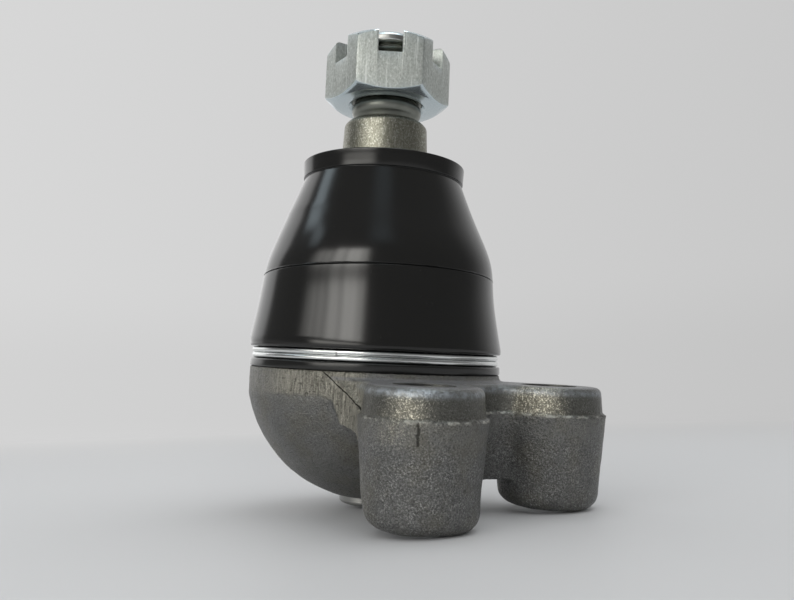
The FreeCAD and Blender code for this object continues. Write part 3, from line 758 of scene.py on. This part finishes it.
def bootProfile(s):
    # closed line round the rubber's section: lip, S-shaped side, clip groove, foot, and up the inside
    outside = spline([s["neck"], *s["side"]], 60)
    fine = np.linspace(s["seamHeight"] + 0.7, s["seamHeight"] - 0.7, 29)
    order = np.argsort(outside[:, 1])
    seam = np.stack([np.interp(fine, outside[order, 1], outside[order, 0]), fine], 1)
    above, below = outside[outside[:, 1] > fine[0]], outside[outside[:, 1] < fine[-1]]
    low, high = s["groove"]
    bulge = s["side"][-1]
    inside = spline([(r - s["wall"], z) for r, z in s["side"]], 24)[::-1]
    top = corners([(9.65, 45.45, 0), (*s["lip"][0], 0.3), (*s["lip"][1], 0.09), (*s["neck"], 0.12),
                   (*above[1], 0)], 6)
    bottom = corners([
        (*below[-1], 0), (bulge[0], high, 0.55),
        (s["grooveRadius"], high, 0.3), (s["grooveRadius"], low, 0.3),
        (s["footRadius"], low, 0.4), (s["footRadius"], s["foot"], 0.25), (s["collarFit"], s["foot"], 0),
        (s["collarFit"], 2.75, 0), (22.6, 3.45, 0), (22.6, 5.05, 0), (s["collarFit"], 5.75, 0)], 6)
    return np.concatenate([divided(top, 1.2), above[2:], seam, below[:-1], divided(bottom, 0.8), inside,
                           s["sleeve"]])


def seamRise(a, s):
    # the mould's parting line stands a little askew: its height follows the cosine of the angle
    return s["seamRise"] * np.cos(a - math.radians(s["seamTurn"]))


def bootShape(a, r, z):
    # rows of the outer skin follow the parting line near it, where a groove has a low uneven fin
    # above it; the skin is slightly uneven, with a shallow dent over a bulge on one side
    s = bootSizes
    outside = spline([s["neck"], *s["side"]], 200)
    order = np.argsort(outside[:, 1])

    def reach(height):
        return np.interp(height, outside[order, 1], outside[order, 0])
    outer = (r > 20) & (z > 6.5) & (np.abs(r - reach(z)) < 0.3)
    moved = z + outer * seamRise(a, s) * smooth((7 - np.abs(z - s["seamHeight"])) / 6)
    spots = np.stack([30 * np.cos(a), 30 * np.sin(a), z], -1).reshape(-1, 3)
    uneven = noise(spots, 1.6, 20).reshape(a.shape)
    along = (z - s["seamHeight"]) / s["seamWidth"]
    fin = (0.06 + 0.05 * uneven) * np.exp(-(along - 1.6) ** 2) - s["seamDepth"] * np.exp(-along ** 2)
    away = np.degrees(np.abs(np.angle(np.exp(1j * (a - math.radians(s["dentTurn"]))))))
    dents = spline(s["dent"], 80)
    dent = np.interp(z, dents[:, 1], dents[:, 0], left=0.0, right=0.0) * smooth((85 - away) / 70)
    skin = 0.035 * noise(spots, 14, 21).reshape(a.shape) * (r > 17.2) * (r < 26.9) * (z > 6.5)
    return r + outer * (reach(moved) - reach(z) + fin + dent) + skin, moved


boot = turned("bootRubberShell", bootProfile(bootSizes), bootSizes["columns"], closed=True,
              shaped=bootShape)
bootX, bootY, bootZ = vectorsOf(boot.data.vertices, "co").T / mm
seamAway = np.abs(bootZ - bootSizes["seamHeight"] - seamRise(np.arctan2(bootY, bootX - studX), bootSizes))
# share of the parting line, which the finish darkens as painted shade
addAttribute(boot, "seam", smooth(1.5 - seamAway / 0.11))
shadeByAngle(boot, 50)
dress(boot, "bootRubber", None, "boot")
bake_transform(boot)
print("boot:", len(boot.data.polygons), "faces")


# Clip

clipSizes = {"radius": 25.75, "wire": 0.55, "middle": 4.25, "pitch": 1.12, "start": 120.0,
             "climb": 40.0, "gap": 4.0, "nickAngle": 663.4, "nickWidth": 0.35}


def clipWire(s):
    # centre line: angle runs over two turns, height steps up by one pitch over the climb;
    # section: circle of the wire's radius in the plane of radius and height
    climbStart = s["start"] + 360 - s["climb"] - s["gap"]
    end = climbStart + 360 - s["gap"]
    angles = np.unique(np.concatenate([
        np.linspace(s["start"], end, 560), s["nickAngle"] + np.linspace(-1, 1, 17)]))
    share = smooth((angles - climbStart) / s["climb"])
    height = s["middle"] - s["pitch"] / 2 + share * s["pitch"]
    nick = np.exp(-((angles - s["nickAngle"]) / s["nickWidth"]) ** 2)
    around = np.linspace(0, 2 * math.pi, 20, endpoint=False)
    ends = np.minimum(angles - s["start"], end - angles)
    thick = s["wire"] * (1 - 0.06 * nick) * (0.72 + 0.28 * smooth(ends / 0.5))
    r = s["radius"] + thick[:, None] * np.cos(around)
    z = height[:, None] + thick[:, None] * np.sin(around)
    a = np.radians(angles)[:, None]
    rings = np.stack([studX + r * np.cos(a), r * np.sin(a), z + 0 * a], -1)
    piece = closedTube("clipWire", rings, rings[[0, -1]].mean(1))
    addAttribute(piece, "nick", np.concatenate([np.repeat(nick, len(around)), [0, 0]]))
    return shadeByAngle(piece, 50)


dress(clipWire(clipSizes), "clipSteel", "base", "boot_clip")
print("clip made")


# Stud

studSizes = {
    "ball": 17.5, "neck": 8.6, "flareStart": 24.0,
    "taperStart": (10.2725, 31.0), "taperEnd": (9.095, 54.55), "shoulder": (8.15, 55.45),
    "undercut": 6.55, "undercutTop": 56.5, "bead": 7.65, "beadEnd": 59.9,
    "crest": 7.7, "root": 0.86, "pitch": 1.5, "threadStart": 60.1, "threadEnd": 71.9,
    "tip": (7.0, 74.35), "crossHole": (2.0, 69.65, 50.8), "columns": 160,
    "finishHeights": (31.0, 55.4, 72.0, 73.3),
}
nutSizes = {
    "flats": 12.0, "bottom": 59.35, "top": 72.35, "face": 11.6, "chamfer": 30.0, "turn": 20.8,
    "corner": 13.77,
    "slotWidth": 5.2, "slotDepth": 5.0, "boreGap": 0.06, "boreLead": 0.75, "edge": 0.16,
    "topRound": 0.75, "lowRound": 0.2,
}


def threadDepth(a, z, s):
    # depth of a V thread: a triangle wave of z / pitch less one turn of the angle, with flat crests
    phase = (z / s["pitch"] - a / (2 * math.pi)) % 1
    return s["root"] * (1 - np.clip(np.abs(phase - 0.5) * 2.5 - 0.12, 0, 1))


def studThread(a, r, z):
    # the thread runs in and out smoothly over its ends
    s = studSizes
    ends = smooth((z - s["threadStart"]) / 1.2) * smooth((s["threadEnd"] - z) / 0.9)
    return r - threadDepth(a, z, s) * ends * (z > s["beadEnd"]), z


def studProfile(s):
    slope = np.linspace(-math.pi / 2 + 0.03, math.acos(s["neck"] / s["ball"]), 60)
    ball = np.stack([s["ball"] * np.cos(slope), s["ball"] * np.sin(slope)], 1)
    middle, half = (s["beadEnd"] + s["undercutTop"]) / 2, (s["beadEnd"] - s["undercutTop"]) / 2
    belly = np.linspace(-1, 1, 15)
    bead = np.stack([s["bead"] - 0.8 * np.abs(belly) ** 2.2, middle + belly * half], 1)
    body = corners([
        (*ball[-1], 0), (s["neck"], s["flareStart"], 4), (*s["taperStart"], 2), (*s["taperEnd"], 0.5),
        (*s["shoulder"], 0.35), (s["undercut"], s["shoulder"][1], 0.25), (*bead[0], 0)], 8)
    rows = np.arange(s["beadEnd"] + 0.08, s["threadEnd"], s["pitch"] / 16)
    thread = np.stack([np.full(len(rows), s["crest"]), rows], 1)
    tip, top = s["tip"]
    end = corners([(s["crest"], s["threadEnd"], 0), (tip, s["threadEnd"] + 0.35, 0.2),
                   (tip, top - 0.9, 0.3), (tip - 0.9, top, 0.3), (0.5, top - 0.05, 0)], 5)
    return np.concatenate([ball[:-1], divided(body, 2.5), bead[1:], thread, end])


def barTool(name, section, turn, reach):
    # a bar across the stud's axis: a section of (sideways, height) carried along that direction
    angle = math.radians(turn)
    along = np.array([math.cos(angle), math.sin(angle), 0])
    side = np.array([-math.sin(angle), math.cos(angle), 0])
    ring = np.array([studX, 0, 0]) + side * section[:, :1] + np.array([0, 0, 1]) * section[:, 1:]
    rings = np.stack([ring - along * reach, ring + along * reach])
    return closedTube(name, rings, rings.mean(1))


def crossTool(s):
    radius, height, turn = s["crossHole"]
    around = np.linspace(0, 2 * math.pi, 40, endpoint=False)
    section = np.stack([radius * np.cos(around), height + radius * np.sin(around)], 1)
    return barTool("crossTool", section, turn, 14)


stud = turned("ballStud", studProfile(studSizes), studSizes["columns"], shaped=studThread)
cut(stud, crossTool(studSizes))
shadeByAngle(stud, 35)
dress(stud, "studSteel", "stud", "ball_stud")
for finish in ("threadSteel", "turnedSteel", "zincPlate"):
    stud.data.materials.append(finishes[finish])
heights = vectorsOf(stud.data.polygons, "center")[:, 2] / mm
# from the ball upwards: turned, ground, threaded, turned, plated
slots = np.array([2, 0, 1, 2, 3])[np.searchsorted(studSizes["finishHeights"], heights)]
stud.data.polygons.foreach_set("material_index", slots.astype(np.int32))
print("stud:", len(stud.data.polygons), "faces")


# Nut

def nutBody(s):
    # radius of the hexagon at angle a is flats / cos(a), capped at the corner; the chamfer cones
    # meet each flat in a curve whose height grows with that radius
    steps = np.sort(np.concatenate([np.linspace(-29, 29, 21), [-30, -29.6, 29.6]]))
    a = np.radians((s["turn"] + steps[None] + 60 * np.arange(6)[:, None]).ravel())
    local = np.radians(np.tile(steps, 6))
    hexagon = np.minimum(s["flats"] / np.cos(local), s["corner"])
    slope = math.tan(math.radians(s["chamfer"]))
    rise = (hexagon - s["face"]) * slope
    share = (hexagon - s["flats"]) / (s["corner"] - s["flats"])
    rows = []
    for end, way, most in ((s["bottom"], 1, s["lowRound"]), (s["top"], -1, s["topRound"])):
        rounding = 0.12 + most * share
        half = [(3.0, 0), (s["face"] - 0.15, 0), (s["face"] + 0.12, 0.12 * 0.6),
                (hexagon - rounding, rise - rounding * slope),
                (hexagon - rounding * 0.25, rise + rounding * 0.2), (hexagon, rise + rounding * 0.9)]
        rows += [(r + 0 * a, end + way * z + 0 * a) for r, z in half][::way]
    r, z = np.array(rows).transpose(1, 0, 2)
    rings = np.stack([studX + r * np.cos(a), r * np.sin(a), z], -1)
    return closedTube("slottedNut", rings, np.array([[studX, 0, s["bottom"]], [studX, 0, s["top"]]]))


def slotTool(s, turn):
    # the slot's section has a short slope at each lower corner
    half, low, high, slope = s["slotWidth"] / 2, s["top"] - s["slotDepth"], s["top"] + 2, 0.25
    section = np.array([(-half, high), (-half, low + slope), (-half + slope, low),
                        (half - slope, low), (half, low + slope), (half, high)])
    return barTool("slotTool", section, s["turn"] + turn, 20)


def nutBoreTool(s, thread):
    # cutter for the nut's thread, with a cone at each mouth
    rows = np.arange(s["bottom"] - 1.0, s["top"] + 1.0, thread["pitch"] / 12)
    profile = np.stack([np.full(len(rows), thread["crest"] + s["boreGap"]), rows], 1)

    def shaped(a, r, z):
        mouth = np.maximum(s["bottom"] + s["boreLead"] - z, z - s["top"] + s["boreLead"])
        return r + np.maximum(-threadDepth(a, z, thread), mouth), z
    return turned("nutBore", profile, 120, shaped=shaped)


nut = nutBody(nutSizes)
cut(nut, *[slotTool(nutSizes, turn) for turn in (0, 60, 120)])
rounding = nut.modifiers.new("edges", "BEVEL")
rounding.width, rounding.segments, rounding.limit_method = nutSizes["edge"] * mm, 2, "ANGLE"
rounding.angle_limit = math.radians(50)
rounding.harden_normals = False
applied(nut)
cut(nut, nutBoreTool(nutSizes, studSizes))
shadeByAngle(nut, 25)
dress(nut, "zincPlate", "stud", "slotted_nut")
print("nut:", len(nut.data.polygons), "faces")


# Camera, floor and light

cameraPlace = {
    "lens": 32.83, "place": (0.08669, -0.10262, 0.00496),
    "right": (0.67177456, 0.73956611, 0.0419633), "up": (0.02682711, -0.08090198, 0.99636097),
    "forward": (-0.74026972, 0.66820419, 0.07418832),
}
floorSizes = {
    "lean": 6.05, "plug": (-27.4, -26.94), "reach": 6.0, "nearEdge": 0.1, "farEdge": 0.75,
    "colour": (0.55, 0.56, 0.57),
}
backdrop = {"left": 0.68, "right": 0.58, "across": (0.672, 0.74, 0), "low": 0.955}


def placedAt(thing, right, up, back, place):
    # stands the camera or a lamp there, looking away from its back
    turn = np.eye(4)
    turn[:3, 0], turn[:3, 1], turn[:3, 2], turn[:3, 3] = right, up, back, place
    thing.matrix_world = Matrix(turn.tolist())
    bpy.context.scene.collection.objects.link(thing)


lens = bpy.data.cameras.new("camera")
lens.lens, lens.sensor_width = cameraPlace["lens"], 36
lens.clip_start, lens.clip_end = 0.005, 50
viewer = bpy.data.objects.new("camera", lens)
placedAt(viewer, cameraPlace["right"], cameraPlace["up"], -np.array(cameraPlace["forward"]),
         cameraPlace["place"])
bpy.context.scene.camera = viewer


def floorMesh(s):
    # level disc leaned so that the plug and the feet of both bosses stand on it:
    # height grows along x by the tangent of the lean
    columns = 64
    radii = np.concatenate([[0.02], np.geomspace(0.05, s["reach"], 24)])
    angle = np.linspace(0, 2 * math.pi, columns, endpoint=False)
    x, y = radii[:, None] * np.cos(angle), radii[:, None] * np.sin(angle)
    slope = math.tan(math.radians(s["lean"]))
    z = s["plug"][1] * mm + (x - s["plug"][0] * mm) * slope
    middle = [0, 0, (s["plug"][1] - s["plug"][0] * slope) * mm]
    points = np.concatenate([np.stack([x, y, z], -1).reshape(-1, 3), [middle]])
    ring = np.arange(columns)
    fans = np.stack([np.full(columns, len(points) - 1), ring, np.roll(ring, -1)], -1)
    quads = gridFaces(len(radii), columns, False)[:, ::-1]
    mesh = bpy.data.meshes.new("floor")
    mesh.from_pydata(points.tolist(), [], quads.tolist() + fans.tolist())
    mesh.shade_smooth()
    return mesh


def backdropShare(n, direction, factor=1.0):
    # brightness of the plain backdrop, from its left side to its right
    return n.ranged(n.dot(direction, backdrop["across"]), -0.5, 0.5, backdrop["left"] * factor,
                    backdrop["right"] * factor, "LINEAR")


def paleFloor(s):
    # matt pale ground that fades with distance into the backdrop's own brightness
    n = Finish("paleFloor")
    where = n.add("ShaderNodeTexCoord").outputs["Object"]
    away = n.add("ShaderNodeVectorMath", {0: where}, operation="LENGTH").outputs["Value"]
    level = n.add("ShaderNodeVectorMath", {0: where}, operation="NORMALIZE").outputs[0]
    n.surface(Base_Color=s["colour"], Roughness=0.55, Specular_IOR_Level=0.3)
    glow = n.add("ShaderNodeEmission", {"Strength": backdropShare(n, level, backdrop["low"])})
    faded = n.add("ShaderNodeMixShader", {
        0: n.ranged(away, s["nearEdge"], s["farEdge"]), 1: n.shader.outputs[0], 2: glow.outputs[0]})
    n.feed(n.tree.nodes["Material Output"].inputs["Surface"], faded.outputs[0])
    return n.material


floor = bpy.data.objects.new("floor", floorMesh(floorSizes))
floor.data.materials.append(paleFloor(floorSizes))
bpy.context.scene.collection.objects.link(floor)


def softbox(name, azimuth, elevation, distance, width, height, radiance, colour=(1, 1, 1)):
    # area lamp facing the object, left out of reflections; power is pi times radiance times area
    lamp = bpy.data.lights.new(name, "AREA")
    lamp.shape, lamp.size, lamp.size_y = "RECTANGLE", width, height
    lamp.energy, lamp.color = radiance * math.pi * width * height, colour
    holder = bpy.data.objects.new(name, lamp)
    a, e = math.radians(azimuth), math.radians(elevation)
    back = np.array([math.cos(a) * math.cos(e), math.sin(a) * math.cos(e), math.sin(e)])
    side = np.array([-math.sin(a), math.cos(a), 0])
    placedAt(holder, side, np.cross(back, side), back, np.array([-0.025, 0, 0.02]) + back * distance)
    holder.visible_camera = False
    holder.visible_glossy = False


softbox("windowPanel", -77, 20, 0.6, 0.5, 0.42, 1.9, (1, 0.985, 0.95))
softbox("overheadPanel", 60, 72, 0.6, 0.6, 0.6, 0.9)

panes = {
    # azimuth, half the width, its softness, low and high edge, their softnesses, rise per degree
    "window": (-70.5, 17.5, 4, 15.2, 33.5, 1.6, 2.5), "windowWing": (-88, 22, 8, 16, 31, 2, 4),
    "sill": (-76, 22, 6, 1, 9, 2, 2), "wall": (176, 25, 2, -2, 40, 3, 8),
    "coolStrip": (-141, 8, 2.5, 37, 45.5, 2, 2, 0.34), "coolWing": (-125, 6.5, 3, 35, 43, 4, 2),
    "faintStrip": (-41, 14, 11, 45, 62, 8, 8),
}
brightness = {
    "ambient": 0.74, "room": 0.66, "roomDark": 0.24, "window": 5.2, "sill": 3.5, "coolStrip": 2.4,
    "faintStrip": 0.38, "wall": 0.5, "ceiling": 3.0,
}

world = bpy.data.worlds.new("studio")
bpy.context.scene.world = world
world.use_nodes = True
world.node_tree.nodes.clear()
sky = Nodes(world.node_tree)
direction = sky.add("ShaderNodeTexCoord").outputs["Generated"]
elevation = sky.times(sky.math("ARCSINE", sky.dot(direction, (0, 0, 1))), 180 / math.pi)


def angleFrom(azimuth):
    # sideways angle of the ray from that azimuth, in degrees
    a = math.radians(azimuth)
    ahead = sky.dot(direction, (math.cos(a), math.sin(a), 0))
    side = sky.dot(direction, (-math.sin(a), math.cos(a), 0))
    return sky.times(sky.math("ARCTAN2", side, ahead), 180 / math.pi)


def pane(azimuth, half, soft, low, high, lowSoft, highSoft, tilt=0.0):
    # share of a soft-edged pane of light in the reflections, in degrees across and up
    away = angleFrom(azimuth)
    level = sky.math("SUBTRACT", elevation, sky.times(away, tilt))
    across = sky.ranged(sky.math("ABSOLUTE", away), half - soft, half + soft, 1.0, 0.0)
    over = sky.ranged(level, low - lowSoft, low + lowSoft)
    under = sky.ranged(level, high - highSoft, high + highSoft, 1.0, 0.0)
    return sky.times(across, over, under)


shares = {name: pane(*edges) for name, edges in panes.items()}
streaks = sky.add("ShaderNodeTexNoise", {
    "W": sky.times(angleFrom(-73), 0.16), "Scale": 1.0, "Detail": 2.0}, noise_dimensions="1D")
window = sky.math("MAXIMUM", shares["window"], sky.times(shares["windowWing"], 0.5))
window = sky.times(window, sky.ranged(streaks.outputs["Fac"], 0.36, 0.62, 0.6, 1.2))
coolStrip = sky.math("MAXIMUM", shares["coolStrip"], sky.times(shares["coolWing"], 0.6))
# the room is bright behind the object, as the camera sees it, and dim elsewhere
behind = angleFrom(137.9)
room = sky.times(sky.ranged(behind, -85, -38), sky.ranged(behind, 58, 62, 1.0, 0.0))
room = sky.plus(brightness["roomDark"], sky.times(room, 1 - brightness["roomDark"]))
seen = (0, 0, 0)
for share, level, colour in (
        (room, brightness["room"], (1, 1, 1)),
        (window, brightness["window"], (1, 0.985, 0.94)),
        (shares["sill"], brightness["sill"], (1, 0.98, 0.92)),
        (coolStrip, brightness["coolStrip"], (0.78, 0.92, 1)),
        (shares["faintStrip"], brightness["faintStrip"], (0.7, 0.88, 1)),
        (shares["wall"], brightness["wall"], (1, 1, 1)),
        (sky.ranged(elevation, 68, 76), brightness["ceiling"], (0.88, 0.97, 1))):
    lit = sky.add("ShaderNodeVectorMath", {0: tuple(level * part for part in colour), "Scale": share},
                  operation="SCALE").outputs[0]
    seen = sky.add("ShaderNodeVectorMath", {0: seen, 1: lit}, operation="ADD").outputs[0]

# the camera sees the plain backdrop, a little darker where it meets the leaning floor
lean = math.radians(floorSizes["lean"])
overFloor = sky.math("ARCSINE", sky.dot(direction, (-math.sin(lean), 0, math.cos(lean))))
wall = sky.times(backdropShare(sky, direction), sky.ranged(overFloor, 0.06, 0.18, backdrop["low"], 1.0))
rays = sky.add("ShaderNodeLightPath").outputs
reflected = sky.math("MAXIMUM", rays["Is Glossy Ray"], rays["Is Transmission Ray"])
ambient = (brightness["ambient"],) * 3
mixed = sky.add("ShaderNodeMix", {0: reflected, 4: ambient, 5: seen}, data_type="VECTOR").outputs[1]
final = sky.add("ShaderNodeMix", {0: rays["Is Camera Ray"], 4: mixed, 5: wall}, data_type="VECTOR")
shade = sky.add("ShaderNodeBackground", {"Color": final.outputs[1], "Strength": 1.0})
sky.add("ShaderNodeOutputWorld", {"Surface": shade.outputs[0]})
bpy.context.scene.view_settings.view_transform = "Standard"
print("camera, floor and lamps set")
